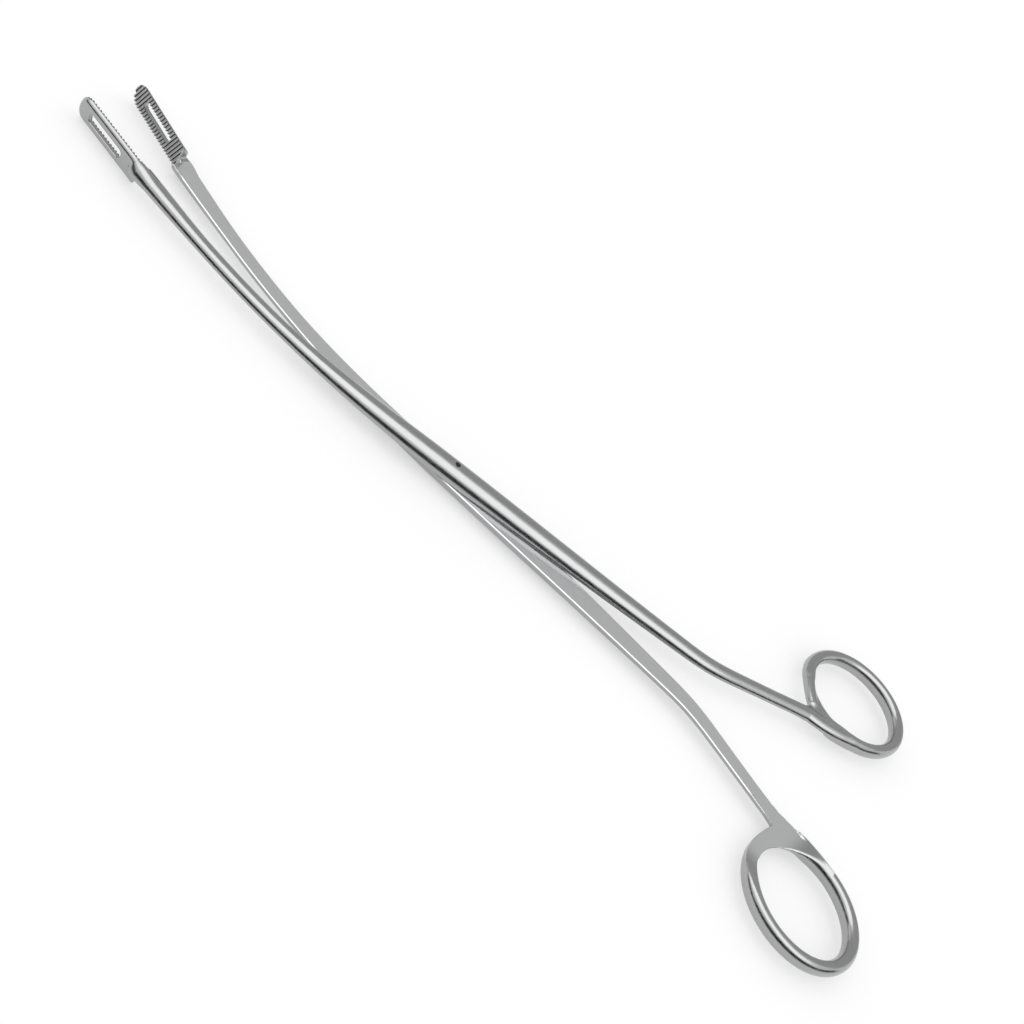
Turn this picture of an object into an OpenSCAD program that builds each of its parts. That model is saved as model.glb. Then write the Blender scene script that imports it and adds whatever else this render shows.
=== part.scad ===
// Kidney stone forceps: two forged arms that cross at a lap joint and turn on one pin.
// Each arm is a bowed half-round shank with a fenestrated, serrated jaw at one end and
// an oval finger ring at the other. X runs along the closed forceps towards the rings,
// Z is the axis of the pin, and the forceps lie on the plane Z = 0.

/* [Opening] */
// Angle between the arms as they lie, 0 with the jaws shut
opening = 8.1; // [0:0.1:18]

/* [Shank] */
// Length of an arm from the pin to the root of its jaw, along the bow
front_len = 90.9; // [70:0.5:110]
// Angle through which the front of an arm bows
front_bow = 18.8; // [8:0.2:26]
// Length of an arm from the pin to its finger ring, along the shank
rear_len = 97; // [85:0.5:120]
// Slow outward lean of the rear shank
rear_lean = 1.9; // [0:0.1:4]
// Sharper outward flare just before the finger ring
rear_flare = 15.2; // [8:0.5:20]
// Distance from the pin at which that flare starts
flare_start = 62.2; // [50:0.5:70]
// Length of shank over which the flare turns
flare_len = 15; // [10:0.5:22]
// Width of a shank at the pin, twice its height
pivot_w = 6.34; // [5:0.1:9]
// Width of a shank at its slim neck, between the pin and the jaw
neck_w = 3.86; // [3:0.1:5]
// Width of a shank at the root of its jaw
root_w = 4.8; // [4:0.1:6]
// Width of a shank where it runs into its finger ring
tail_w = 3.64; // [3:0.1:4.4]

/* [Finger ring] */
// Length of the finger hole
hole_l = 23.4; // [20:0.5:32]
// Width of the finger hole
hole_w = 20.3; // [16:0.5:28]
// Width of the ring's stock, seen from above
ring_w = 3; // [2.4:0.1:4.4]
// Thickness of the ring's stock
ring_t = 3.76; // [3:0.1:5]
// Turn of the oval away from the closed forceps' length
ring_turn = 12.5; // [0:0.5:20]
// Distance from the end of the shank to where the ring lies alongside its line
ring_run = 15.3; // [12:0.2:20]
// How far the ring's inner side stands inside the line of the shank
ring_drop = 2.2; // [0:0.1:3]
// Thickness of the web between the shank and the ring
web_t = 1.2; // [0.8:0.1:1.6]

/* [Jaw] */
// Length of a jaw
jaw_len = 21.5; // [16:0.2:28]
// Angle of the jaws away from the closed forceps' length
jaw_turn = 21.5; // [15:0.5:30]
// Width of a jaw's gripping face
jaw_w = 5.6; // [4.2:0.1:7]
// Thickness of a jaw behind its gripping face
jaw_t = 1.35; // [1.2:0.1:2.2]
// Radius of a jaw's outer edges
jaw_round = 0.75; // [0.3:0.05:1]
// Width of the window through a jaw
window_w = 2; // [1:0.1:2.6]
// Length of the window, between its round ends' tips
window_l = 11.6; // [6:0.2:13]
// Distance of the window from the root of the jaw
window_start = 5.7; // [3:0.1:6]
// Pitch of the serrations
tooth_pitch = 0.62; // [0.4:0.01:1.2]
// Depth of the serrations
tooth_depth = 0.28; // [0.1:0.01:0.4]
// Distance of the first serration from the root of the jaw
tooth_start = 1.2; // [1:0.1:3]

/* [Joint] */
// Diameter of the pin
pin_d = 1.2; // [0.8:0.1:3]
// Radial play of the upper arm on the pin
pin_play = 0.03; // [0.01:0.01:0.08]
// Gap between the two lap faces
lap_gap = 0.06; // [0.02:0.01:0.1]
// Gap between the two gripping faces with the jaws shut
bite_gap = 0.1; // [0.05:0.01:0.3]
// Width of the bright bevel along the edges of the lap faces
bevel = 0.16; // [0.05:0.01:0.3]

/* [Hidden] */
$fn = 48;

eps = 0.01;
arch_steps = 12;     // facets round the back of a shank
under_steps = 4;     // facets across its lap face
shank_steps = 34;    // sections along each half of an arm
ring_steps = 64;     // sections round a finger ring
tube_steps = 14;     // facets round the stock of a ring
limb_steps = 6;      // sections down the outer limb of a ring
stem_steps = 10;     // sections where a shank runs on into its ring
corner_steps = 4;    // facets round an edge of a jaw
tip_steps = 10;      // sections round the tip of a jaw

lap = lap_gap / 2;
back_r = pivot_w / 2;
table_z = back_r + lap;
full_depth = ring_t / 2 + lap;

limb_angle = 176;    // where the outer limb leaves the oval
foot_ahead = 2.2;    // how far past the shank's end the limb's foot stands
step_ahead = 4;      // how far past the shank's end the flat lap side stops
step_angle = 150;    // where on the oval it stops on the outer side
merge_len = 4;       // length over which a shank's round back turns into a jaw
scoop_x = 0.4;       // where a jaw reaches its full width, from its root
scoop_r = 0.8;       // radius of the scoop in front of that
arm_stop = 0.45;     // how far short of the root the other arm's shank stops

function unit(v) = v / norm(v);
function left_of(v) = [-v.y, v.x];
function heading_vec(a) = [cos(a), sin(a)];

// Eases from 0 to 1 without a corner at either end
function ease(t) = let (u = min(max(t, 0), 1)) u * u * (3 - 2 * u);
function blend(a, b, t) = a + (b - a) * ease(t);
function turn2(p, a) = [p.x * cos(a) - p.y * sin(a), p.x * sin(a) + p.y * cos(a)];

// Headings of the centreline, measured from the closed forceps' length
function front_heading(s) = front_bow * ease(s / front_len);
function rear_heading(s) = rear_lean * min(s / (flare_start - 3), 1)
    + rear_flare * ease((s - flare_start) / flare_len);

// Walks a heading from the pin and returns evenly spaced points
function walk(heading, length, n) = [
    for (i = 0, p = [0, 0], d = length / n; i <= n;
         p = p + d * [cos(heading((i + 0.5) * d)), sin(heading((i + 0.5) * d))], i = i + 1) p
];

front_path = [for (p = walk(function (s) front_heading(s), front_len, shank_steps)) [-p.x, p.y]];
rear_path = walk(function (s) rear_heading(s), rear_len, shank_steps);
jaw_root = front_path[shank_steps];
rear_end = rear_path[shank_steps];

// Half widths of the shank
function front_half(s) = blend(pivot_w, neck_w, s / (0.57 * front_len)) / 2
    + (root_w - neck_w) / 2 * ease((s - 0.74 * front_len) / (0.26 * front_len));
function rear_half(s) = blend(pivot_w, tail_w, s / (0.94 * rear_len)) / 2;

// Finger ring: an oval that lies alongside the line of the shank
ring_a = (hole_l + ring_w) / 2;
ring_b = (hole_w + ring_w) / 2;
rear_dir = heading_vec(rear_heading(rear_len));
beside = atan(tan(rear_heading(rear_len) - ring_turn) * ring_a / ring_b) - 90;
function oval(a) = turn2([ring_a * cos(a), ring_b * sin(a)], ring_turn);
ring_c = rear_end + ring_run * rear_dir - ring_drop * left_of(rear_dir) - oval(beside);
function ring_point(a) = ring_c + oval(a);
function ring_dir(a) = unit(turn2([-ring_a * sin(a), ring_b * cos(a)], ring_turn));

// The origin lies half way between the tips of the jaws and the ends of the rings
jaw_tip = jaw_root + jaw_len * [-cos(jaw_turn), sin(jaw_turn)];
far_reach = max([for (a = [-60:2:60]) turn2(ring_point(a), opening / 2).x]) + ring_w / 2;
origin_x = (turn2(jaw_tip, opening / 2).x + far_reach) / 2;

// Closed skin over sections that all have the same number of points. Each section runs
// anticlockwise as seen from the end that the skin grows towards.
module skin(sections, closed = false) {
    n = len(sections);
    m = len(sections[0]);
    sides = [
        for (i = [0:closed ? n - 1 : n - 2], j = [0:m - 1])
            let (h = (i + 1) % n, k = (j + 1) % m)
            each [[i * m + k, i * m + j, h * m + k], [h * m + k, i * m + j, h * m + j]]
    ];
    caps = closed ? [] : [[for (j = [0:m - 1]) j], [for (j = [m - 1:-1:0]) (n - 1) * m + j]];
    polyhedron([for (s = sections) each s], concat(sides, caps), 3);
}

// Lifts a flat section, given as [across, up] pairs, to its place on a path
function stand(section, p, dir) = let (a = left_of(dir))
    [for (q = section) [p.x + a.x * q[0], p.y + a.y * q[0], q[1]]];

// Section of a shank: flat below at the lap face, with a bevelled edge and a round back.
// deep is how far it reaches below the lap face, once it runs into the ring.
function shank_section(half, high, deep = 0) = let (
    rise = asin(bevel / high),
    arch = [for (i = [0:arch_steps]) let (a = rise + (180 - 2 * rise) * i / arch_steps)
        [half * cos(a), lap + high * sin(a)]],
    under = [for (i = [0:under_steps]) let (u = 1 - 2 * i / under_steps)
        [-(half - bevel) * u, lap - deep * (1 - u * u)]]
) concat(arch, under);

module shank(side) {
    front = [for (i = [shank_steps:-1:1]) let (s = front_len * i / shank_steps)
        stand(shank_section(front_half(s), front_half(s)), front_path[i], heading_vec(-front_heading(s)))];
    rear = [for (i = [0:shank_steps]) let (s = rear_len * i / shank_steps, p = rear_path[i])
        stand(shank_section(rear_half(s), rear_half(s)), [p.x, side * p.y], heading_vec(side * rear_heading(s)))];
    stem = [for (i = [1:stem_steps]) let (t = i / stem_steps, p = stem_point(t), d = stem_dir(t))
        stand(shank_section(stem_fit * blend(tail_w, ring_w, t) / 2, stem_fit * blend(tail_w, ring_t, t) / 2,
                            stem_fit * full_depth * ease(2 * t)),
              [p.x, side * p.y], [d.x, side * d.y])];
    skin(concat(front, rear, stem));
}

// Past its end the shank runs on into the inner side of the ring, just inside its skin
stem_fit = 0.97;
function stem_point(t) = rear_end + t * ring_run * rear_dir
    - ring_drop * (1 - (1 - t) * (1 - t)) * left_of(rear_dir);
function stem_dir(t) = unit(ring_run * rear_dir - 2 * ring_drop * (1 - t) * left_of(rear_dir));

// Elliptical section of the ring's stock
function stock_section(scale = 1) = [for (j = [0:tube_steps - 1]) let (a = 360 * j / tube_steps)
    [scale * ring_w / 2 * cos(a), scale * ring_t / 2 * sin(a)]];

module finger_ring() {
    skin([for (i = [0:ring_steps - 1]) let (a = 360 * i / ring_steps)
        stand(stock_section(), ring_point(a), ring_dir(a))], closed = true);
}

// The outer side of the ring leaves the oval and runs on, nearly straight, down to the shank
limb_top = ring_point(limb_angle);
limb_foot = rear_end + foot_ahead * rear_dir + 0.2 * tail_w * left_of(rear_dir);
limb_bend = limb_top + 0.4 * norm(limb_foot - limb_top) * ring_dir(limb_angle);
function limb_point(t) = (1 - t) * (1 - t) * limb_top + 2 * t * (1 - t) * limb_bend + t * t * limb_foot;
function limb_dir(t) = unit((1 - t) * (limb_bend - limb_top) + t * (limb_foot - limb_bend));
module limb() {
    skin([for (i = [0:limb_steps]) let (t = i / limb_steps)
        stand(stock_section(1 - 0.1 * t), limb_point(t), limb_dir(t))]);
}

// Web that fills the corner between shank, limb and hole
module web() {
    hole_side = [for (a = [limb_angle:6:beside + 354]) ring_point(a)];
    shank_side = [for (i = [stem_steps:-1:1]) stem_point(i / stem_steps)];
    limb_side = [for (i = [limb_steps:-1:1]) limb_point(i / limb_steps)];
    translate([0, 0, lap])
        linear_extrude(web_t) polygon(concat(hole_side, shank_side, limb_side));
}

// The lap side stays flat through the root of the ring and stops at a step
module flat_root() {
    inner = stem_point(step_ahead / ring_run);
    outer = ring_point(step_angle);
    over = 0.4 * (outer - inner);
    back = [3 * ring_b / 2, 0];
    translate([0, 0, lap - ring_t])
        linear_extrude(ring_t)
            polygon([inner - over, outer + over, outer + over - back, inner - over - back]);
}

// Places its children on the jaw: X along it, Y from its gripping face to its back
module on_jaw(side) {
    translate(concat(jaw_root, 0))
        rotate([0, 0, 180 - jaw_turn]) mirror([0, side < 0 ? 1 : 0, 0]) children();
}

// Section of a jaw at distance s from its root. Its face lies at Y = 0, its back at Y > 0.
function jaw_section(s) = let (
    past = max(s - jaw_len + jaw_w / 2, 0) / (jaw_w / 2),
    half = max(jaw_w / 2 * sqrt(1 - min(past * past, 1)), 0.2) * blend(0.85, 1, s / merge_len + 1),
    thick = blend(0.86 * root_w / 2, jaw_t, (s + merge_len) / (2 * merge_len)) * (1 - 0.25 * pow(past, 3)),
    r = min(blend(0.8 * root_w / 2, jaw_round, (s + merge_len) / (2 * merge_len)), half - 0.1, thick - 0.1),
    corner = [for (i = [0:corner_steps]) let (a = 90 * i / corner_steps) r * [1 - cos(a), 1 - sin(a)]],
    y0 = bite_gap / 2,
    outline = concat(
        [[y0, -half]],
        [for (i = [corner_steps:-1:0]) [y0 + thick - corner[i][0], corner[i][1] - half]],
        [for (c = corner) [y0 + thick - c[0], half - c[1]]],
        [[y0, half]]
    )
) [for (q = outline) [s, q[0], q[1]]];

module jaw() {
    straight = jaw_len - jaw_w / 2;
    stations = concat(
        [for (i = [0:8]) merge_len * (i / 4 - 1)],
        [straight / 2],
        [for (i = [0:tip_steps]) straight + jaw_w / 2 * sin(88 * i / tip_steps)]
    );
    difference() {
        skin([for (s = stations) jaw_section(s)]);
        scoop();
        window();
        serrations();
    }
}

// Beyond the lap face a jaw starts with a scoop that clears the end of the other arm
module scoop() {
    reach = merge_len + scoop_x + eps;
    depth = jaw_w + eps;
    translate([scoop_x - reach, -eps, lap - depth]) {
        cube([reach - scoop_r, root_w, depth]);
        cube([reach, root_w, depth - scoop_r]);
    }
    translate([scoop_x - scoop_r, -eps, lap - scoop_r]) rotate([-90, 0, 0]) cylinder(r = scoop_r, h = root_w);
}

module window() {
    r = window_w / 2;
    translate([window_start + r, -eps, 0]) rotate([-90, 0, 0]) cylinder(r = r, h = root_w);
    translate([window_start + window_l - r, -eps, 0]) rotate([-90, 0, 0]) cylinder(r = r, h = root_w);
    translate([window_start + r, -eps, -r]) cube([window_l - 2 * r, root_w, 2 * r]);
}

module serrations() {
    count = floor((jaw_len - tooth_start) / tooth_pitch);
    teeth = [for (i = [0:count]) each [
        [tooth_start + i * tooth_pitch, bite_gap / 2],
        [tooth_start + (i + 0.5) * tooth_pitch, bite_gap / 2 + tooth_depth]
    ]];
    finish_x = tooth_start + (count + 1) * tooth_pitch;
    translate([0, 0, -jaw_w])
        linear_extrude(2 * jaw_w)
            polygon(concat([[tooth_start, 0]], teeth, [[finish_x, bite_gap / 2], [finish_x, 0]]));
}

// One arm with its back up. The front bows the same way on both arms, and side tells
// to which side its shank and ring lie behind the pin.
module arm(side, bore) {
    difference() {
        union() {
            difference() {
                shank(side);
                on_jaw(side) translate([-arm_stop, -root_w, -eps]) cube(2 * root_w);
            }
            on_jaw(side) jaw();
            mirror([0, side < 0 ? 1 : 0, 0]) {
                finger_ring();
                limb();
                web();
            }
        }
        mirror([0, side < 0 ? 1 : 0, 0]) flat_root();
        translate([0, 0, lap - eps]) cylinder(d = bore, h = back_r + 2 * eps);
    }
}

module upper_arm() {
    color([0.74, 0.75, 0.76])
        translate([-origin_x, 0, table_z]) rotate([0, 0, opening / 2]) arm(1, pin_d + 2 * pin_play);
}

module lower_arm() {
    color([0.68, 0.69, 0.7])
        translate([-origin_x, 0, table_z]) rotate([0, 0, -opening / 2]) mirror([0, 0, 1]) arm(-1, pin_d);
}

module pivot_pin() {
    color([0.5, 0.5, 0.52])
        translate([-origin_x, 0, table_z - back_r - lap]) cylinder(d = pin_d, h = 2 * (back_r + lap));
}

upper_arm();
lower_arm();
pivot_pin();
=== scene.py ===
# Kidney stone forceps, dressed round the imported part.
# Both arms are rebuilt here as finely meshed forgings that stand for the plain CAD arms.
# Shapes are worked out in millimetres with the pin at the origin, then put down in metres.
import bpy
import bmesh
import math
import numpy as np
from mathutils import Matrix, Vector


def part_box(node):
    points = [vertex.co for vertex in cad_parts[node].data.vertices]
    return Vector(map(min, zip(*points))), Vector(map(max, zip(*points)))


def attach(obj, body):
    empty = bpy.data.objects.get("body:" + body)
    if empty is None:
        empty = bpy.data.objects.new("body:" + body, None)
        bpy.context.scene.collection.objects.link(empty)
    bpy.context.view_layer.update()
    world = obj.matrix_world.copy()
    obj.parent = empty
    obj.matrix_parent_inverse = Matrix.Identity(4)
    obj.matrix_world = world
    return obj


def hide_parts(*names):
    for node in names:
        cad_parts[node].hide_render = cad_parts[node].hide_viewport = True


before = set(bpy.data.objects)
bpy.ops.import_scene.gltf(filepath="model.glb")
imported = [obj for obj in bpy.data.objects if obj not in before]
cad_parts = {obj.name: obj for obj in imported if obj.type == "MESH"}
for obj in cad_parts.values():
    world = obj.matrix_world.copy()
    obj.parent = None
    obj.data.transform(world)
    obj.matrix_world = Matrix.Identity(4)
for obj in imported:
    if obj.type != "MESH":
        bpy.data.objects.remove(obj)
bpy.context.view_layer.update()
pinLow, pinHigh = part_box("pivot_pin")
pinPlace = np.array([(a + b) / 2 for a, b in zip(pinLow, pinHigh)])
print("frame loaded, pin at", [round(float(v), 5) for v in pinPlace])


cameraSet = {
    "lean": 49.981,         # degrees between the view and straight down
    "roll": 42.805,         # how far the forceps are turned in the picture
    "turn": 3.679,          # turn of the forceps on the table
    "distance": 0.28777,    # from the pin, in metres
    "lens": 48.52,
    "shift": (0.0603, -0.0378),
}


def placeCamera(settings):
    lean, roll, turn = (math.radians(settings[k]) for k in ("lean", "roll", "turn"))
    spin = Matrix.Rotation(-turn, 3, "Z")
    across = Vector((0, math.cos(lean), math.sin(lean)))
    look = spin @ Vector((0, math.sin(lean), -math.cos(lean)))
    right = spin @ (Vector((math.cos(roll), 0, 0)) + across * math.sin(roll))
    up = spin @ (Vector((-math.sin(roll), 0, 0)) + across * math.cos(roll))
    data = bpy.data.cameras.new("camera")
    data.sensor_width = 36
    data.lens = settings["lens"]
    data.shift_x, data.shift_y = settings["shift"]
    data.clip_start, data.clip_end = 0.005, 20
    camera = bpy.data.objects.new("camera", data)
    bpy.context.scene.collection.objects.link(camera)
    place = Vector(pinPlace) - look * settings["distance"]
    turnBy = Matrix((right, up, -look)).transposed().to_4x4()
    camera.matrix_world = Matrix.Translation(place) @ turnBy
    bpy.context.scene.camera = camera
    return camera


placeCamera(cameraSet)
print("camera placed")


armShape = {
    "opening": 8.1,
    "frontLength": 90.9, "frontBow": 18.8,
    "rearLength": 97.0, "rearLean": 1.9, "rearFlare": 15.2,
    "leanLength": 59.2, "flareStart": 62.2, "flareLength": 15.0,
    "pinWidth": 6.34, "neckWidth": 3.86, "rootWidth": 4.8, "tailWidth": 3.64,
    "neckAt": 0.57, "rootFrom": 0.74, "tailAt": 0.94,    # shares of the front and rear lengths
    "lap": 0.03,            # half the gap between the two lap faces
    "bevelWidth": 0.24, "bevelHeight": 0.16,   # along the edges of the lap face
    "boreWidth": 1.26,
}


def ease(t):
    u = np.clip(t, 0, 1)
    return u * u * (3 - 2 * u)


def mixed(a, b, t):
    return a + (b - a) * ease(t)


def frontHeading(s):
    return armShape["frontBow"] * ease(s / armShape["frontLength"])


def rearHeading(s):
    a = armShape
    return (a["rearLean"] * np.minimum(s / a["leanLength"], 1)
            + a["rearFlare"] * ease((s - a["flareStart"]) / a["flareLength"]))


def frontHalf(s):
    a = armShape
    slim = mixed(a["pinWidth"], a["neckWidth"], s / (a["neckAt"] * a["frontLength"])) / 2
    growth = ease((s / a["frontLength"] - a["rootFrom"]) / (1 - a["rootFrom"]))
    return slim + (a["rootWidth"] - a["neckWidth"]) / 2 * growth


def rearHalf(s):
    a = armShape
    return mixed(a["pinWidth"], a["tailWidth"], s / (a["tailAt"] * a["rearLength"])) / 2


def walk(heading, stops):
    # places along a centreline that starts at the pin
    fine = np.linspace(0, stops[-1], 2001)
    middle = np.radians(heading((fine[1:] + fine[:-1]) / 2))
    step = fine[1] - fine[0]
    x = np.concatenate([[0], np.cumsum(np.cos(middle)) * step])
    y = np.concatenate([[0], np.cumsum(np.sin(middle)) * step])
    return np.stack([np.interp(stops, fine, x), np.interp(stops, fine, y)], 1)


frontEnd = walk(frontHeading, np.array([0, armShape["frontLength"]]))[-1] * [-1, 1]
rearEnd = walk(rearHeading, np.array([0, armShape["rearLength"]]))[-1]
rearAngle = float(np.radians(rearHeading(armShape["rearLength"])))
rearAlong = np.array([math.cos(rearAngle), math.sin(rearAngle)])
rearAcross = np.array([-math.sin(rearAngle), math.cos(rearAngle)])


shankMesh = {
    "archPoints": 44, "flatPoints": 6, "frontSteps": 120, "rearSteps": 130,
    "overlap": 1.2, "sinkStart": 0.997, "sinkMore": 0.06,    # how its ends sink under the skins
    "lapReach": 0.015, "sharpAngle": 28,
}
# a skin starts inside the shank: how much slimmer, how much higher, and over what length
tuckIn = {"share": 0.006, "lift": 0.01, "run": 0.8}


def shankSection(half):
    # flat lap face, a bevel with softened corners and a round back
    a = armShape
    rise = math.asin(a["bevelHeight"] / half)
    turn = np.linspace(rise, math.pi - rise, shankMesh["archPoints"])
    arch = np.stack([half * np.cos(turn), a["lap"] + half * np.sin(turn)], 1)
    edge = half - a["bevelWidth"]
    run = np.linspace(-edge, edge, shankMesh["flatPoints"])
    under = np.stack([run, np.full(len(run), a["lap"])], 1)
    return np.concatenate([arch, under])


def bevelPlane(off, half, up):
    w, h = armShape["bevelWidth"], armShape["bevelHeight"]
    return ((off - half + w) * h - up * w) / math.hypot(w, h)


def loft(sections, places, headings):
    rings = []
    for section, place, angle in zip(sections, places, headings):
        across = np.array([-math.sin(angle), math.cos(angle)])
        rings.append(np.column_stack([place + across * section[:, :1], section[:, 1]]))
    count = len(rings[0])
    points = np.concatenate(rings)
    faces = []
    for i in range(len(rings) - 1):
        for j in range(count):
            k = (j + 1) % count
            faces.append((i * count + j, (i + 1) * count + j, (i + 1) * count + k, i * count + k))
    faces.append(tuple(range(count)))
    faces.append(tuple(len(points) - 1 - j for j in range(count)))
    return points, faces


def shankPoints(side, frontStop, rearStop):
    m = shankMesh
    front = np.linspace(frontStop + m["overlap"], 0, m["frontSteps"])
    rear = np.linspace(0, rearStop + m["overlap"], m["rearSteps"])[1:]
    frontPlaces = walk(frontHeading, front[::-1])[::-1] * [-1, 1]
    rearPlaces = walk(rearHeading, np.concatenate([[0], rear]))[1:] * [1, side]
    halves = np.concatenate([frontHalf(front), rearHalf(rear)])
    under = np.concatenate([front - frontStop, rear - rearStop]) / m["overlap"]
    sections = [shankSection(h) for h in halves]
    for i in np.nonzero(under > 0)[0]:
        shrink = m["sinkStart"] - m["sinkMore"] * under[i] ** 2
        sections[i] = (sections[i] - [0, 1]) * shrink + [0, 1]
    headings = np.concatenate([-np.radians(frontHeading(front)),
                               side * np.radians(rearHeading(rear))])
    return loft(sections, np.concatenate([frontPlaces, rearPlaces]), headings)


def joined(a, b, soft):
    h = np.clip(0.5 + 0.5 * (b - a) / soft, 0, 1)
    return b + (a - b) * h - soft * h * (1 - h)


def cutTo(a, b, soft):
    return -joined(-a, -b, soft)


def slopeOf(field, points, reach=0.01):
    parts = []
    for axis in range(3):
        off = np.zeros(3)
        off[axis] = reach
        parts.append((field(points + off) - field(points - off)) / (2 * reach))
    return np.stack(parts, 1)


def netSurface(field, low, high, step):
    # one point in every cell that the surface crosses, pulled onto the surface
    axes = [np.arange(a, b + step, step) for a, b in zip(low, high)]
    grid = np.stack(np.meshgrid(*axes, indexing="ij"), -1)
    values = field(grid.reshape(-1, 3)).reshape(grid.shape[:3])
    size = np.array(values.shape) - 1
    total, hits, edges = np.zeros((*size, 3)), np.zeros(size), []
    for axis in range(3):
        first = tuple(slice(0, -1) if a == axis else slice(None) for a in range(3))
        second = tuple(slice(1, None) if a == axis else slice(None) for a in range(3))
        v0, v1 = values[first], values[second]
        crossed = (v0 < 0) != (v1 < 0)
        part = np.where(crossed, v0 / np.where(crossed, v0 - v1, 1), 0)
        spot = grid[first] + part[..., None] * step * np.eye(3)[axis]
        spot = spot * crossed[..., None]
        others = [a for a in range(3) if a != axis]
        for d0 in (0, 1):
            for d1 in (0, 1):
                pick = [slice(None)] * 3
                pick[others[0]] = slice(d0, d0 + size[others[0]])
                pick[others[1]] = slice(d1, d1 + size[others[1]])
                total += spot[tuple(pick)]
                hits += crossed[tuple(pick)]
        edges.append((axis, others, crossed, v0 < 0))
    used = hits > 0
    number = np.full(used.shape, -1)
    number[used] = np.arange(used.sum())
    points = total[used] / hits[used][:, None]
    faces = []
    for axis, others, crossed, fromInside in edges:
        inner = [slice(None)] * 3
        inner[others[0]] = slice(1, -1)
        inner[others[1]] = slice(1, -1)
        at = np.argwhere(crossed[tuple(inner)])
        outward = fromInside[tuple(inner)][tuple(at.T)]
        at[:, others[0]] += 1
        at[:, others[1]] += 1
        corners = []
        for d0, d1 in ((1, 1), (0, 1), (0, 0), (1, 0)):
            cell = at.copy()
            cell[:, others[0]] -= d0
            cell[:, others[1]] -= d1
            corners.append(number[tuple(cell.T)])
        quad = np.stack(corners, 1)
        flip = outward if axis == 1 else ~outward
        quad[flip] = quad[flip][:, ::-1]
        faces.append(quad)
    for _ in range(3):
        slope = slopeOf(field, points)
        move = field(points)[:, None] * slope / np.maximum((slope ** 2).sum(1), 0.05)[:, None]
        points = points - np.clip(move, -step / 3, step / 3)
    return points, [tuple(f) for f in np.concatenate(faces).tolist()]


jawShape = {
    "length": 21.5, "turn": 21.5, "width": 5.6, "thick": 1.35, "edgeRound": 1.25,
    "windowWidth": 2.0, "windowLength": 11.6, "windowStart": 5.7, "windowSoft": 0.12,
    "toothPitch": 0.93, "toothDepth": 0.36, "toothStart": 1.0, "toothSlant": -0.365,
    "grooveShare": 0.7, "grooveSide": 0.4, "toothFade": 0.3,
    "toothTrue": 0.78,       # brings the field of a groove's side near a true distance
    "mergeLength": 4.0, "scoopStart": 0.6, "scoopRound": 0.95, "scoopSoft": 0.1,
    "armStop": 0.52, "stubTaper": 0.5, "stubLength": 6, "swell": 0.16,
    "rootThick": 0.8, "rootRound": 0.76,     # shares of the shank's half width
    "rootWide": 0.78, "tipPower": 2.25, "tipThin": 0.25,
    "face": 0.05, "reachBack": 5.0, "shankIn": 0.5, "cell": 0.11,
}


def roundBox(a, b, r):
    outside = np.hypot(np.maximum(a + r, 0), np.maximum(b + r, 0))
    return outside + np.minimum(np.maximum(a + r, b + r), 0) - r


def toothWave(x, z):
    # 0 on the crests, 1 in the grooves, which run slantwise over the gripping face
    j = jawShape
    phase = (x + j["toothSlant"] * z - j["toothStart"]) / j["toothPitch"]
    beside = np.abs(2 * (phase - np.floor(phase)) - 1)
    groove = np.clip((j["grooveShare"] - beside) / j["grooveSide"], 0, 1)
    return groove * ease((x - j["toothStart"]) / j["toothFade"])


def jawField(p, side):
    j, a = jawShape, armShape
    x, y, z = p.T
    root = a["rootWidth"] / 2
    up = z - a["lap"]
    # the shank's half round, cut short where the other arm's jaw lies
    bend = math.radians(j["turn"] - a["frontBow"])
    sway = y - side * np.minimum(x, 0) * math.tan(bend)
    tuck = 1 - ease((x + j["reachBack"]) / tuckIn["run"])
    half = frontHalf(a["frontLength"] + np.minimum(x, 0)) * (1 - tuckIn["share"] * tuck)
    half = half * mixed(1, j["stubTaper"], (x + 0.6) / j["stubLength"])
    half = half * np.where(sway > 0, 1 + j["swell"] * ease((x + 5) / 4), 1)
    back = np.hypot(sway, up) - half
    bevel = bevelPlane(np.abs(sway), half, up)
    shank = cutTo(cutTo(back, bevel, 0.03), -up - 0.3, 0.03) + 3 * ease((x - 1.5) / 4)
    # the jaw itself
    grow = ease((x + j["mergeLength"]) / (2 * j["mergeLength"]))
    wide = j["width"] / 2 * mixed(j["rootWide"], 1, x / j["mergeLength"] + 1)
    thick = j["rootThick"] * root + (j["thick"] - j["rootThick"] * root) * grow
    edge = j["rootRound"] * root + (j["edgeRound"] - j["rootRound"] * root) * grow
    bow = j["length"] - j["width"] / 2
    power = j["tipPower"]
    fuller = (np.maximum(x - bow, 0) ** power + np.abs(z) ** power) ** (1 / power)
    plan = np.where(x > bow, fuller, np.abs(z)) - wide
    thin = thick * (1 - j["tipThin"] * np.clip((x - bow) / (j["width"] / 2), 0, 1) ** 2)
    body = roundBox(plan, y - j["face"] - thin, np.minimum(edge, thin * 0.98))
    body = np.maximum(body, np.maximum(j["face"] - y, -x - j["mergeLength"] - 1.5))
    solid = joined(body, shank, 0.05 + 0.75 * ease((x + 4.5) / 3))
    # teeth across the gripping face
    face = (j["face"] + j["toothDepth"] * toothWave(x, z) - y) * j["toothTrue"]
    solid = cutTo(solid, joined(face, x + j["armStop"], 0.2), 0.05)
    # scoop that clears the end of the other arm
    clear = roundBox(x - j["scoopStart"], up - tuckIn["lift"] * tuck, j["scoopRound"])
    solid = cutTo(solid, -clear, j["scoopSoft"])
    r = j["windowWidth"] / 2
    along = np.clip(x, j["windowStart"] + r, j["windowStart"] + j["windowLength"] - r)
    window = np.hypot(x - along, z) - r
    return cutTo(solid, -window, j["windowSoft"])


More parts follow.
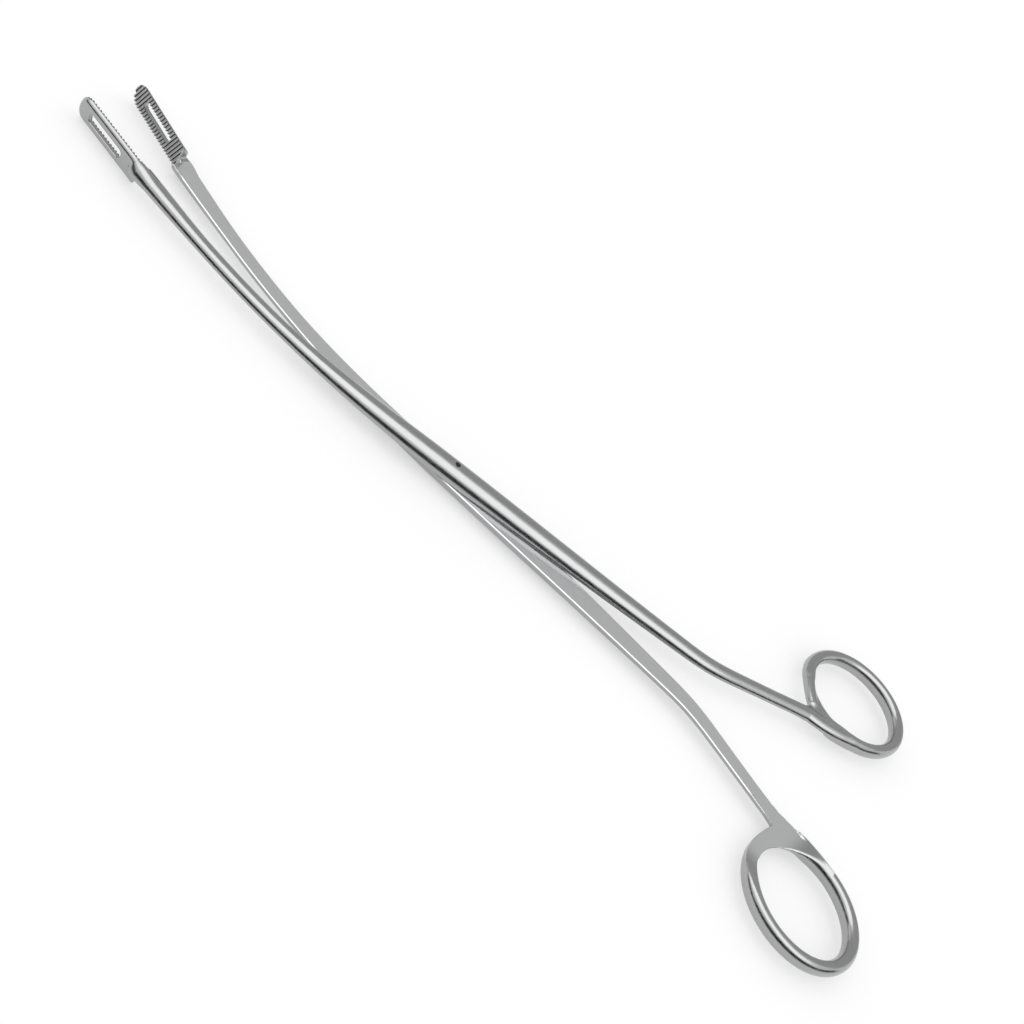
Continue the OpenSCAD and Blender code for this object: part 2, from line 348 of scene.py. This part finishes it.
def jawSkin(side):
    j = jawShape
    low, high = (-j["reachBack"], -3.0, -3.1), (j["length"] + 0.3, 3.0, 3.1)
    return netSurface(lambda p: jawField(p, side), low, high, j["cell"])


def jawGrooveShade(points):
    # painted shade: the walls of the serrations are marked dark, as though the shade in the
    # grooves were in the steel's colour
    j = jawShape
    x, y, z = points.T
    wave = toothWave(x, z)
    dark = np.maximum(4 * wave * (1 - wave), 0.2 * wave)
    return np.where((x > j["toothStart"]) & (y < j["face"] + 1.05 * j["toothDepth"]), dark, 0)


def placeJaw(points, side):
    # X along the jaw, Y from its gripping face to its back
    angle = math.radians(180 - jawShape["turn"])
    x, y = points[:, 0], points[:, 1] * side
    return np.column_stack([frontEnd[0] + x * math.cos(angle) - y * math.sin(angle),
                            frontEnd[1] + x * math.sin(angle) + y * math.cos(angle), points[:, 2]])


ringShape = {
    "holeLength": 23.4, "holeWidth": 20.3, "stockWidth": 3.0, "stockThick": 3.76,
    "turn": 12.5, "run": 15.3, "drop": 2.2, "reachBack": 8.0, "trim": 0.65, "shankIn": 1.1,
    "limbStart": 172, "limbBend": 0.45, "limbHigh": 1.22,
    "footAlong": 2.0, "footAcross": 3.35, "footRadius": 1.35,
    "webThick": 0.95, "webUnder": 0.12, "swell": 0.12,
    "stepAlong": 3.2, "stepShare": 0.3, "stepRun": 7, "stepSides": (-3.6, -0.4), "stemFade": 11,
    "flatEnd": 192, "flatFade": 76, "cell": 0.18,
    "stemSoft": 0.35, "limbSoft": 0.25, "webSoft": 0.7,     # how softly the forms run together
}
ringA = (ringShape["holeLength"] + ringShape["stockWidth"]) / 2
ringB = (ringShape["holeWidth"] + ringShape["stockWidth"]) / 2
ringTurn = math.radians(ringShape["turn"])


def ovalPoint(degrees):
    t = math.radians(degrees)
    x, y = ringA * math.cos(t), ringB * math.sin(t)
    return np.array([x * math.cos(ringTurn) - y * math.sin(ringTurn),
                     x * math.sin(ringTurn) + y * math.cos(ringTurn)])


def alongside(along, across):
    return rearEnd + along * rearAlong + across * rearAcross


besideAngle = math.degrees(math.atan(math.tan(rearAngle - ringTurn) * ringA / ringB)) - 90
ringCentre = alongside(ringShape["run"], -ringShape["drop"]) - ovalPoint(besideAngle)


def stemAcross(along):
    t = np.clip(along / ringShape["run"], 0, 1)
    return -ringShape["drop"] * (1 - (1 - t) ** 2)


def ovalPlace(x, y):
    # distance from the ring's oval centreline, and the angle round it
    dx, dy = x - ringCentre[0], y - ringCentre[1]
    ox = dx * math.cos(ringTurn) + dy * math.sin(ringTurn)
    oy = -dx * math.sin(ringTurn) + dy * math.cos(ringTurn)
    k = np.hypot(ox / ringA, oy / ringB) + 1e-9
    away = (k - 1) * k / np.hypot(ox / ringA ** 2, oy / ringB ** 2)
    return away, np.degrees(np.arctan2(oy / ringB, ox / ringA)) % 360


def shankPlace(x, y):
    # how far beyond the shank's end along its line, and how far across it
    fx, fy = x - rearEnd[0], y - rearEnd[1]
    return fx * rearAlong[0] + fy * rearAlong[1], fx * rearAcross[0] + fy * rearAcross[1]


def toSegment(x, y, a, b):
    d = b - a
    t = np.clip(((x - a[0]) * d[0] + (y - a[1]) * d[1]) / (d @ d), 0, 1)
    return np.hypot(x - a[0] - t * d[0], y - a[1] - t * d[1]), t


def distanceToLine(x, y, line):
    # distance to an open line, and how far along it the nearest place is
    best, where = np.full(x.shape, 1e9), np.zeros(x.shape)
    for i in range(len(line) - 1):
        away, t = toSegment(x, y, line[i], line[i + 1])
        near = away < best
        best = np.where(near, away, best)
        where = np.where(near, (i + t) / (len(line) - 1), where)
    return best, where


def insidePolygon(x, y, ring):
    best, inside = np.full(x.shape, 1e9), np.zeros(x.shape, bool)
    for i in range(len(ring)):
        a, b = ring[i], ring[(i + 1) % len(ring)]
        best = np.minimum(best, toSegment(x, y, a, b)[0])
        if a[1] != b[1]:
            edgeX = (b[0] - a[0]) * (y - a[1]) / (b[1] - a[1]) + a[0]
            crosses = ((a[1] > y) != (b[1] > y)) & (x < edgeX)
            inside ^= crosses
    return np.where(inside, -best, best)


def limbLine():
    r = ringShape
    top = ringCentre + ovalPoint(r["limbStart"])
    foot = alongside(r["footAlong"], r["footAcross"])
    ahead = ovalPoint(r["limbStart"] + 1) - ovalPoint(r["limbStart"])
    bend = top + r["limbBend"] * np.linalg.norm(foot - top) * ahead / np.linalg.norm(ahead)
    t = np.linspace(0, 1, 9)[:, None]
    return (1 - t) ** 2 * top + 2 * t * (1 - t) * bend + t ** 2 * foot


limbCentre = limbLine()
stemCentre = [alongside(a, float(stemAcross(a))) for a in np.linspace(-2, ringShape["run"], 9)]
webTurn = range(ringShape["limbStart"], int(besideAngle) + 361, 6)
webOutline = np.array([ringCentre + ovalPoint(d) for d in webTurn]
                      + stemCentre[::-1] + list(limbCentre[:0:-1]))


def stockBelow(x, y):
    # the lap side stays flat (0) through the root; the stock grows full (1) beyond it
    r = ringShape
    along, across = shankPlace(x, y)
    start = alongside(r["stepAlong"], r["stepSides"][0])
    end = alongside(r["stepAlong"] + r["stepRun"], r["stepSides"][1])
    dirX, dirY = (end - start) / np.linalg.norm(end - start)
    beyond = (x - start[0]) * dirY - (y - start[1]) * dirX
    share = r["stepShare"] * ease((stemAcross(along) - across - 0.6) / 1.2)
    gentle = ease((along - r["stepAlong"]) / r["stemFade"])
    inner = share * ease(beyond / 0.4) + (1 - share) * gentle
    angle = ovalPlace(x, y)[1]
    outer = np.where(angle > 270, 1, ease((r["flatEnd"] - angle) / r["flatFade"]))
    return mixed(inner, outer, (across - 2) / 4)


def ringField(p):
    r, a = ringShape, armShape
    x, y, z = p.T
    up = z - a["lap"]
    along, across = shankPlace(x, y)
    # the shank and the ridge that carries on from it along the inner side
    t = np.clip(along / r["run"], 0, 1)
    off = across - stemAcross(along)
    tuck = 1 - ease((along + r["reachBack"] - r["trim"]) / tuckIn["run"])
    half = np.where(along < 0, rearHalf(a["rearLength"] + along) * (1 - tuckIn["share"] * tuck),
                    mixed(a["tailWidth"] / 2, r["stockWidth"] / 2, t))
    high = np.where(along < 0, half, mixed(a["tailWidth"] / 2, r["stockThick"] / 2, t))
    swell = r["swell"] * ease((along + 7) / 12) * (1 - ease((along - 6) / 8))
    inner = np.where(off < 0, half * (1 + swell), half)
    spread = np.hypot(off / inner, up / high)
    stem = (spread - 1) * np.minimum(inner, high)
    stem = cutTo(stem + 0.35 * ease((along - r["run"] + 3) / 3), along - r["run"], 0.3)
    # the oval of the ring
    away, angle = ovalPlace(x, y)
    low = ease((angle - 178) / 12) * (1 - ease((angle - 230) / 22))   # where the web takes over
    tubeWide = r["stockWidth"] / 2
    tubeHigh = r["stockThick"] / 2 * (1 - low) + (r["webThick"] + r["webUnder"]) * low
    tubeHigh = np.where(up > 0, tubeHigh, r["stockThick"] / 2)
    tube = (np.hypot(away / tubeWide, up / tubeHigh) - 1) * np.minimum(tubeWide, tubeHigh)
    # the outer limb, with its rounded foot
    reach, part = distanceToLine(x, y, limbCentre)
    limbHalf = tubeWide + (r["footRadius"] - tubeWide) * part
    limb = (np.hypot(reach / limbHalf, up / (limbHalf * r["limbHigh"])) - 1) * limbHalf
    web = cutTo(insidePolygon(x, y, webOutline), up - r["webThick"], 0.3)
    top = joined(joined(stem, tube, r["stemSoft"]), limb, r["limbSoft"])
    top = joined(top, web, r["webSoft"])
    full = stockBelow(x, y)
    floorLine = -(r["stockThick"] / 2 + 0.5) * full + tuckIn["lift"] * tuck
    bevel = bevelPlane(np.abs(off), inner, up) - 3 * ease((along + 2) / 3)
    edge = np.where(np.abs(off) < inner + 1, bevel, -9)
    return cutTo(np.maximum(top, edge), floorLine - up, 0.1 + 0.6 * ease(3 * full))


def ringSkin():
    r = ringShape
    start = alongside(-r["reachBack"], 0)
    low = (start[0], start[1] - 3.2, -2.2)
    high = (ringCentre[0] + ringA + 2.4, ringCentre[1] + ringB + 3.0, 2.3)
    points, faces = netSurface(ringField, low, high, r["cell"])
    # ends square to the shank, where the shank takes over
    kept = (points[:, :2] - rearEnd) @ rearAlong > -r["reachBack"] + r["trim"]
    faces = [f for f in faces if all(kept[i] for i in f)]
    used = sorted({i for f in faces for i in f})
    number = {old: new for new, old in enumerate(used)}
    return points[used], [tuple(number[i] for i in f) for f in faces]


def putDown(points, upper):
    # from the arm's own millimetres to its place on the table, in metres
    turn = math.radians(armShape["opening"] / 2) * (1 if upper else -1)
    x, y, z = points.T
    if not upper:
        z = -z
    moved = np.column_stack([x * math.cos(turn) - y * math.sin(turn),
                             x * math.sin(turn) + y * math.cos(turn), z])
    return moved / 1000 + pinPlace


def meshFrom(name, points, faces, flip=False):
    if flip:
        faces = [f[::-1] for f in faces]
    data = bpy.data.meshes.new(name)
    data.from_pydata(points.tolist(), [], faces)
    data.update()
    thing = bpy.data.objects.new(name, data)
    bpy.context.scene.collection.objects.link(thing)
    return thing


def boreOut(thing, width):
    drill = bmesh.new()
    radius = width / 2000
    bmesh.ops.create_cone(drill, cap_ends=True, segments=48, radius1=radius, radius2=radius,
                          depth=0.02)
    bmesh.ops.translate(drill, verts=drill.verts, vec=Vector(pinPlace))
    data = bpy.data.meshes.new("drill")
    drill.to_mesh(data)
    drill.free()
    tool = bpy.data.objects.new("drill", data)
    bpy.context.scene.collection.objects.link(tool)
    cut = thing.modifiers.new("bore", "BOOLEAN")
    cut.operation, cut.object, cut.solver = "DIFFERENCE", tool, "EXACT"
    drilled = thing.evaluated_get(bpy.context.evaluated_depsgraph_get())
    done = bpy.data.meshes.new_from_object(drilled)
    thing.modifiers.clear()
    thing.data = done
    bpy.data.objects.remove(tool)


def joinUp(parts, name):
    with bpy.context.temp_override(active_object=parts[0], selected_editable_objects=parts):
        bpy.ops.object.join()
    parts[0].name = name
    parts[0].data.name = name
    for face in parts[0].data.polygons:
        face.use_smooth = True
    parts[0].data.set_sharp_from_angle(angle=math.radians(shankMesh["sharpAngle"]))
    return parts[0]


def mark(thing, label, values):
    spread = thing.data.attributes.new(label, "FLOAT", "POINT")
    spread.data.foreach_set("value", values.astype(np.float32))


def onLapFace(points):
    return np.abs(points[:, 2] - armShape["lap"]) < shankMesh["lapReach"]


def buildArm(name, side, upper, jaw, ring):
    jawPoints = placeJaw(jaw[0], side)
    ringPoints = ring[0] * [1, side, 1]
    shank = shankPoints(
        side, armShape["frontLength"] - jawShape["reachBack"] + jawShape["shankIn"],
        armShape["rearLength"] - ringShape["reachBack"] + ringShape["shankIn"])
    # mirrored pieces turn their faces round
    jawFlip = (side > 0) != upper
    parts = [meshFrom(name + "Shank", putDown(shank[0], upper), shank[1], flip=not upper)]
    mark(parts[0], "ground", onLapFace(shank[0]))
    boreOut(parts[0], armShape["boreWidth"])
    parts.append(meshFrom(name + "Jaw", putDown(jawPoints, upper), jaw[1], flip=jawFlip))
    # painted shade: the jaw's serration walls are marked for a dark colour
    mark(parts[1], "grooveShade", jawGrooveShade(jaw[0]))
    mark(parts[1], "ground", onLapFace(jaw[0]) & (jaw[0][:, 0] < jawShape["scoopStart"]))
    parts.append(meshFrom(name + "Ring", putDown(ringPoints, upper), ring[1], flip=jawFlip))
    x, y, z = ring[0].T
    onFlat = z < armShape["lap"] + shankMesh["lapReach"]
    mark(parts[2], "ground", np.where(onFlat, 1 - ease(2 * stockBelow(x, y)), 0))
    arm = joinUp(parts, name)
    print(name, "has", sum(len(f.vertices) - 2 for f in arm.data.polygons), "triangles")
    return arm


ringData = ringSkin()
upperArm = buildArm("upperArmForging", 1, True, jawSkin(1), ringData)
lowerArm = buildArm("lowerArmForging", -1, False, jawSkin(-1), ringData)
print("arms built")


def newGroup(name, inputs, outputs):
    group = bpy.data.node_groups.new(name, "ShaderNodeTree")
    for label, kind, value in inputs:
        socket = group.interface.new_socket(label, in_out="INPUT", socket_type=kind)
        socket.default_value = value
    for label, kind in outputs:
        group.interface.new_socket(label, in_out="OUTPUT", socket_type=kind)
    return group, group.nodes.new("NodeGroupInput"), group.nodes.new("NodeGroupOutput")


def steelGrain():
    # fine brushing along the instrument, faint blotches and a soft pebble from polishing
    floatKind = "NodeSocketFloat"
    group, given, result = newGroup(
        "steelGrain",
        [("Grain Scale", floatKind, 2600.0), ("Streak", floatKind, 0.12),
         ("Blotch Scale", floatKind, 90.0)],
        [("Shade", floatKind), ("Gloss", floatKind), ("Height", floatKind)])
    nodes, link = group.nodes, group.links.new
    place = nodes.new("ShaderNodeTexCoord")
    stretch = nodes.new("ShaderNodeVectorMath")
    stretch.operation = "MULTIPLY"
    pack = nodes.new("ShaderNodeCombineXYZ")
    pack.inputs["Y"].default_value = 1
    pack.inputs["Z"].default_value = 1
    link(given.outputs["Streak"], pack.inputs["X"])
    link(place.outputs["Object"], stretch.inputs[0])
    link(pack.outputs[0], stretch.inputs[1])

    def noise(where, scale, detail):
        made = nodes.new("ShaderNodeTexNoise")
        made.inputs["Detail"].default_value = detail
        link(where, made.inputs["Vector"])
        link(given.outputs[scale], made.inputs["Scale"])
        return made

    brushed = noise(stretch.outputs[0], "Grain Scale", 3)
    pebble = noise(place.outputs["Object"], "Grain Scale", 2)
    blotch = noise(place.outputs["Object"], "Blotch Scale", 4)
    height = nodes.new("ShaderNodeMath")
    height.operation = "MULTIPLY_ADD"
    height.inputs[1].default_value = 0.6
    link(pebble.outputs["Fac"], height.inputs[0])
    link(brushed.outputs["Fac"], height.inputs[2])
    shade = nodes.new("ShaderNodeMath")
    shade.operation = "MULTIPLY_ADD"
    shade.inputs[1].default_value = 0.5
    link(blotch.outputs["Fac"], shade.inputs[0])
    half = nodes.new("ShaderNodeMath")
    half.operation = "MULTIPLY"
    half.inputs[1].default_value = 0.5
    link(brushed.outputs["Fac"], half.inputs[0])
    link(half.outputs[0], shade.inputs[2])
    link(shade.outputs[0], result.inputs["Shade"])
    link(brushed.outputs["Fac"], result.inputs["Gloss"])
    link(height.outputs[0], result.inputs["Height"])
    return group


grainGroup = steelGrain()


def steel(name, settings):
    material = bpy.data.materials.new(name)
    material.use_nodes = True
    nodes, link = material.node_tree.nodes, material.node_tree.links.new
    shader = nodes["Principled BSDF"]
    shader.inputs["Metallic"].default_value = 1
    grain = nodes.new("ShaderNodeGroup")
    grain.node_tree = grainGroup
    grain.inputs["Grain Scale"].default_value = settings["grainScale"]
    grain.inputs["Streak"].default_value = settings["streak"]
    grain.inputs["Blotch Scale"].default_value = settings["blotchScale"]
    tint = nodes.new("ShaderNodeMix")
    tint.data_type = "RGBA"
    tint.inputs["A"].default_value = (*settings["dull"], 1)
    tint.inputs["B"].default_value = (*settings["bright"], 1)
    link(grain.outputs["Shade"], tint.inputs["Factor"])
    shown = tint
    # the second mark paints shade: a dark colour on the walls of the jaw's serrations
    for label, tone in (("ground", "ground"), ("grooveShade", "groove")):    # marked on the meshes
        marked = nodes.new("ShaderNodeAttribute")
        marked.attribute_name = label
        over = nodes.new("ShaderNodeMix")
        over.data_type = "RGBA"
        over.inputs["B"].default_value = (*settings[tone], 1)
        link(marked.outputs["Fac"], over.inputs["Factor"])
        link(shown.outputs["Result"], over.inputs["A"])
        shown = over
    link(shown.outputs["Result"], shader.inputs["Base Color"])
    rough = nodes.new("ShaderNodeMapRange")
    rough.inputs["From Min"].default_value = 0.3
    rough.inputs["From Max"].default_value = 0.7
    rough.inputs["To Min"].default_value = settings["roughness"][0]
    rough.inputs["To Max"].default_value = settings["roughness"][1]
    link(grain.outputs["Gloss"], rough.inputs["Value"])
    link(rough.outputs["Result"], shader.inputs["Roughness"])
    bump = nodes.new("ShaderNodeBump")
    bump.inputs["Strength"].default_value = settings["bump"]
    bump.inputs["Distance"].default_value = settings["bumpDepth"]
    link(grain.outputs["Height"], bump.inputs["Height"])
    link(bump.outputs["Normal"], shader.inputs["Normal"])
    return material


satinSteel = {
    "dull": (0.36, 0.362, 0.365), "bright": (0.45, 0.452, 0.456), "roughness": (0.18, 0.27),
    # the groove colour is painted shade for the walls of the jaw's serrations
    "ground": (0.72, 0.723, 0.73), "groove": (0.03, 0.03, 0.032),
    "grainScale": 2600, "streak": 0.15, "blotchScale": 90, "bump": 0.25, "bumpDepth": 0.00002,
}
pinSteel = {
    "dull": (0.04, 0.041, 0.042), "bright": (0.07, 0.071, 0.073), "roughness": (0.4, 0.5),
    # the groove colour is painted shade, unused here as the pin has no serrations marked
    "ground": (0.07, 0.071, 0.073), "groove": (0.05, 0.05, 0.052),
    "grainScale": 3200, "streak": 1.0, "blotchScale": 400, "bump": 0.3, "bumpDepth": 0.00001,
}
armFinish = steel("satinSteel", satinSteel)
pinFinish = steel("pinSteel", pinSteel)

for arm, body, node in ((upperArm, "upper", "upper_arm"), (lowerArm, "lower", "lower_arm")):
    arm.data.materials.clear()
    arm.data.materials.append(armFinish)
    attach(arm, body)
    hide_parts(node)
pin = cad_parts["pivot_pin"]
for placeSlot in pin.material_slots:
    placeSlot.material = pinFinish
print("finishes on")


stageSet = {
    "floorSize": 6.0, "floorColor": (0.55, 0.55, 0.55),
    "floorLift": 0.47,        # glow of the floor, for what looks straight at it
    "skyLight": 0.98,
    "stripSize": (1.6, 0.5), "stripPlace": (0.0, -0.2, 0.587),
    "stripLean": 19, "stripTurn": -22, "stripPower": 2.67,
    "cards": [                # one edge from end to end, the way to the other edge, and the tone
        ((-1.2, -0.62, 0.0), (1.2, -0.62, 0.0), (0, 0, 0.38), 0.02),
        ((-1.3, 0.8, 0.0), (1.3, 0.8, 0.0), (0, 0, 0.46), 0.72),
        ((-1.3, 0.17, 0.75), (1.3, 0.17, 0.75), (0, 0.63, -0.29), 0.95),
        ((-1.15, 0.0, 0.0), (-1.15, -0.62, 0.0), (0, 0, 0.4), 0.05),
        ((1.15, -0.62, 0.0), (1.15, 0.0, 0.0), (0, 0, 0.4), 0.05),
    ],
}


def seenAsBackground(nodes, link):
    # 1 for what the camera, a mirror or glass looks at directly
    path = nodes.new("ShaderNodeLightPath")
    either = nodes.new("ShaderNodeMath")
    either.operation = "MAXIMUM"
    link(path.outputs["Is Camera Ray"], either.inputs[0])
    link(path.outputs["Is Glossy Ray"], either.inputs[1])
    anyOf = nodes.new("ShaderNodeMath")
    anyOf.operation = "MAXIMUM"
    link(either.outputs[0], anyOf.inputs[0])
    link(path.outputs["Is Transmission Ray"], anyOf.inputs[1])
    return anyOf.outputs[0]


def matte(name, color):
    material = bpy.data.materials.new(name)
    material.use_nodes = True
    shader = material.node_tree.nodes["Principled BSDF"]
    shader.inputs["Base Color"].default_value = (*color, 1)
    shader.inputs["Roughness"].default_value = 1
    shader.inputs["Specular IOR Level"].default_value = 0
    return material, shader


def buildStage(settings):
    half = settings["floorSize"] / 2
    corners = np.array([(-half, -half, 0), (half, -half, 0), (half, half, 0), (-half, half, 0)])
    floor = meshFrom("floor", corners, [(0, 1, 2, 3)])
    material, shader = matte("paleFloor", settings["floorColor"])
    nodes, link = material.node_tree.nodes, material.node_tree.links.new
    shader.inputs["Emission Color"].default_value = (1, 1, 1, 1)
    lift = nodes.new("ShaderNodeMath")
    lift.operation = "MULTIPLY"
    lift.inputs[1].default_value = settings["floorLift"]
    link(seenAsBackground(nodes, link), lift.inputs[0])
    link(lift.outputs[0], shader.inputs["Emission Strength"])
    floor.data.materials.append(material)

    world = bpy.data.worlds.new("studio")
    bpy.context.scene.world = world
    world.use_nodes = True
    nodes, link = world.node_tree.nodes, world.node_tree.links.new
    sky = nodes["Background"]
    sky.inputs["Color"].default_value = (1, 1, 1, 1)
    level = nodes.new("ShaderNodeMapRange")
    level.inputs["To Min"].default_value = settings["skyLight"]
    level.inputs["To Max"].default_value = 1
    link(seenAsBackground(nodes, link), level.inputs["Value"])
    link(level.outputs["Result"], sky.inputs["Strength"])

    strip = bpy.data.lights.new("strip", "AREA")
    strip.shape = "RECTANGLE"
    strip.size, strip.size_y = settings["stripSize"]
    strip.energy = settings["stripPower"]
    lamp = bpy.data.objects.new("strip", strip)
    lamp.location = settings["stripPlace"]
    lean, turn = math.radians(settings["stripLean"]), math.radians(settings["stripTurn"])
    lamp.rotation_euler = (lean, 0, turn)
    lamp.visible_diffuse = False
    bpy.context.scene.collection.objects.link(lamp)

    # cards out of the picture, as product photographers use, give the steel its dark edges
    for i, (start, end, rise, tone) in enumerate(settings["cards"]):
        start, end, rise = np.array(start), np.array(end), np.array(rise)
        corners = np.array([start, end, end + rise, start + rise])
        card = meshFrom("card%d" % i, corners, [(0, 1, 2, 3)])
        card.data.materials.append(matte("cardCloth%d" % i, (tone, tone, tone))[0])
        card.visible_camera = False
        card.visible_shadow = False
        card.visible_diffuse = False


buildStage(stageSet)
bpy.context.scene.view_settings.view_transform = "Standard"
print("stage set")
